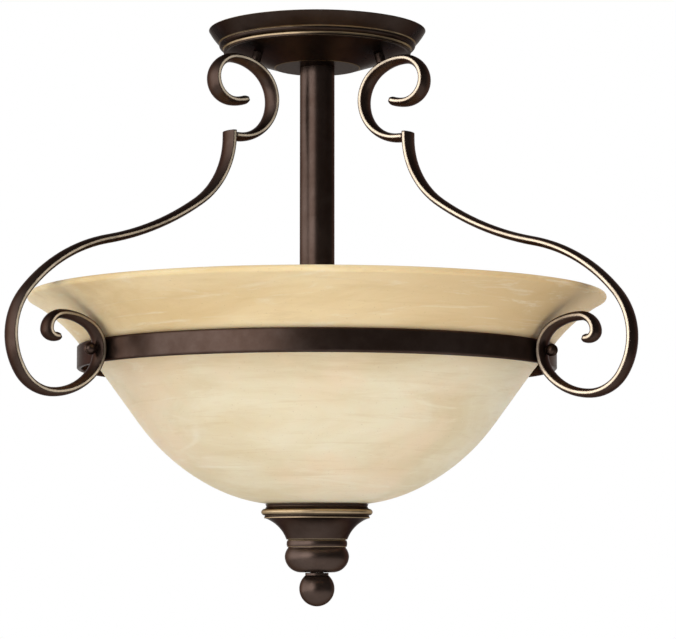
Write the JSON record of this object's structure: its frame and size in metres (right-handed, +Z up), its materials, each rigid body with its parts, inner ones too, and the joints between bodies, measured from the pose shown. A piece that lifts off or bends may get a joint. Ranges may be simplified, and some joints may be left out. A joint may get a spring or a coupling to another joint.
{
  "type": "semi flush ceiling light",
  "caption": "Semi flush ceiling light: a flared alabaster glass bowl held in a scrolled bronze strap frame on a centre stem, with a turned finial.",
  "frame": {"origin": "where the stem's axis meets the ceiling, in the plane of the crossbar's top face", "axes": "+Z up into the ceiling, -Y towards the side that the picture shows, X along the crossbar"},
  "size_m": [0.4328, 0.4565, 0.4194],
  "materials": {
    "bronze": "dark oil-rubbed bronze, satin, with edges rubbed to gold",
    "zinc_steel": "zinc-plated, dull",
    "ground_green": "green-dyed screw",
    "alabaster_glass": "cream and tan alabaster-style glass, satin",
    "holder_white": "white glazed porcelain",
    "cap_brass": "plain brass",
    "bulb_frosted": "frosted white bulb glass"
  },
  "bodies": {
    "fixture": {"arm_back": "bronze", "arm_front_left": "bronze", "arm_front_right": "bronze", "bowl_nut": "zinc_steel", "bowl_washer": "zinc_steel", "canopy": "bronze", "canopy_nut": "zinc_steel", "canopy_washer": "zinc_steel", "ceiling_crossbar": "zinc_steel", "centre_rod": "zinc_steel", "cluster_body": "bronze", "cluster_nut": "zinc_steel", "crossbar_nut": "zinc_steel", "glass_bowl": "alabaster_glass", "ground_screw": "ground_green", "lamp_holder_front": "holder_white", "lamp_holder_left": "holder_white", "lamp_holder_right": "holder_white", "ring_screw_back": "zinc_steel", "ring_screw_front_left": "zinc_steel", "ring_screw_front_right": "zinc_steel", "screw_shell_front": "cap_brass", "screw_shell_left": "cap_brass", "screw_shell_right": "cap_brass", "scroll_back": "bronze", "scroll_front_left": "bronze", "scroll_front_right": "bronze", "scroll_screw_back": "zinc_steel", "scroll_screw_front_left": "zinc_steel", "scroll_screw_front_right": "zinc_steel", "stem_plug": "zinc_steel", "stem_tube": "bronze", "support_ring": "bronze"},
    "finial_stack": {"finial_cup": "bronze", "finial_bun": "bronze"},
    "finial_ball": {"finial_ball": "bronze"},
    "bulb_right": {"bulb_cap_right": "cap_brass", "bulb_glass_right": "bulb_frosted"},
    "bulb_left": {"bulb_cap_left": "cap_brass", "bulb_glass_left": "bulb_frosted"},
    "bulb_front": {"bulb_cap_front": "cap_brass", "bulb_glass_front": "bulb_frosted"},
    "knob_front_left": {"ring_knob_front_left": "bronze"},
    "knob_front_right": {"ring_knob_front_right": "bronze"},
    "knob_back": {"ring_knob_back": "bronze"}
  },
  "joints": [
    {"name": "finial_drop", "type": "slide", "parent": "fixture", "child": "finial_stack", "axis": [0, 0, -1], "range_m": [0, 0.0094]},
    {"name": "finial_turn", "type": "hinge", "parent": "finial_stack", "child": "finial_ball", "pos_m": [0, 0, -0.4], "axis": [0, 0, -1], "range_deg": [0, 3600]},
    {"name": "bulb_right_out", "type": "slide", "parent": "fixture", "child": "bulb_right", "axis": [0.8138, 0.4698, 0.342], "range_m": [0, 0.026]},
    {"name": "bulb_left_out", "type": "slide", "parent": "fixture", "child": "bulb_left", "axis": [-0.8138, 0.4698, 0.342], "range_m": [0, 0.026]},
    {"name": "bulb_front_out", "type": "slide", "parent": "fixture", "child": "bulb_front", "axis": [0, -0.9397, 0.342], "range_m": [0, 0.026]},
    {"name": "knob_front_left_turn", "type": "hinge", "parent": "fixture", "child": "knob_front_left", "pos_m": [-0.15935, -0.092, -0.24115], "axis": [-0.866, -0.5, 0], "range_deg": [-180, 0]},
    {"name": "knob_front_right_turn", "type": "hinge", "parent": "fixture", "child": "knob_front_right", "pos_m": [0.15935, -0.092, -0.24115], "axis": [0.866, -0.5, 0], "range_deg": [-180, 0]},
    {"name": "knob_back_turn", "type": "hinge", "parent": "fixture", "child": "knob_back", "pos_m": [0, 0.184, -0.24115], "axis": [0, 1, 0], "range_deg": [-180, 0]}
  ],
  "couplings": [
    {"joint": "finial_turn", "follows": "finial_drop", "rad_per_m": 6684.2}
  ]
}
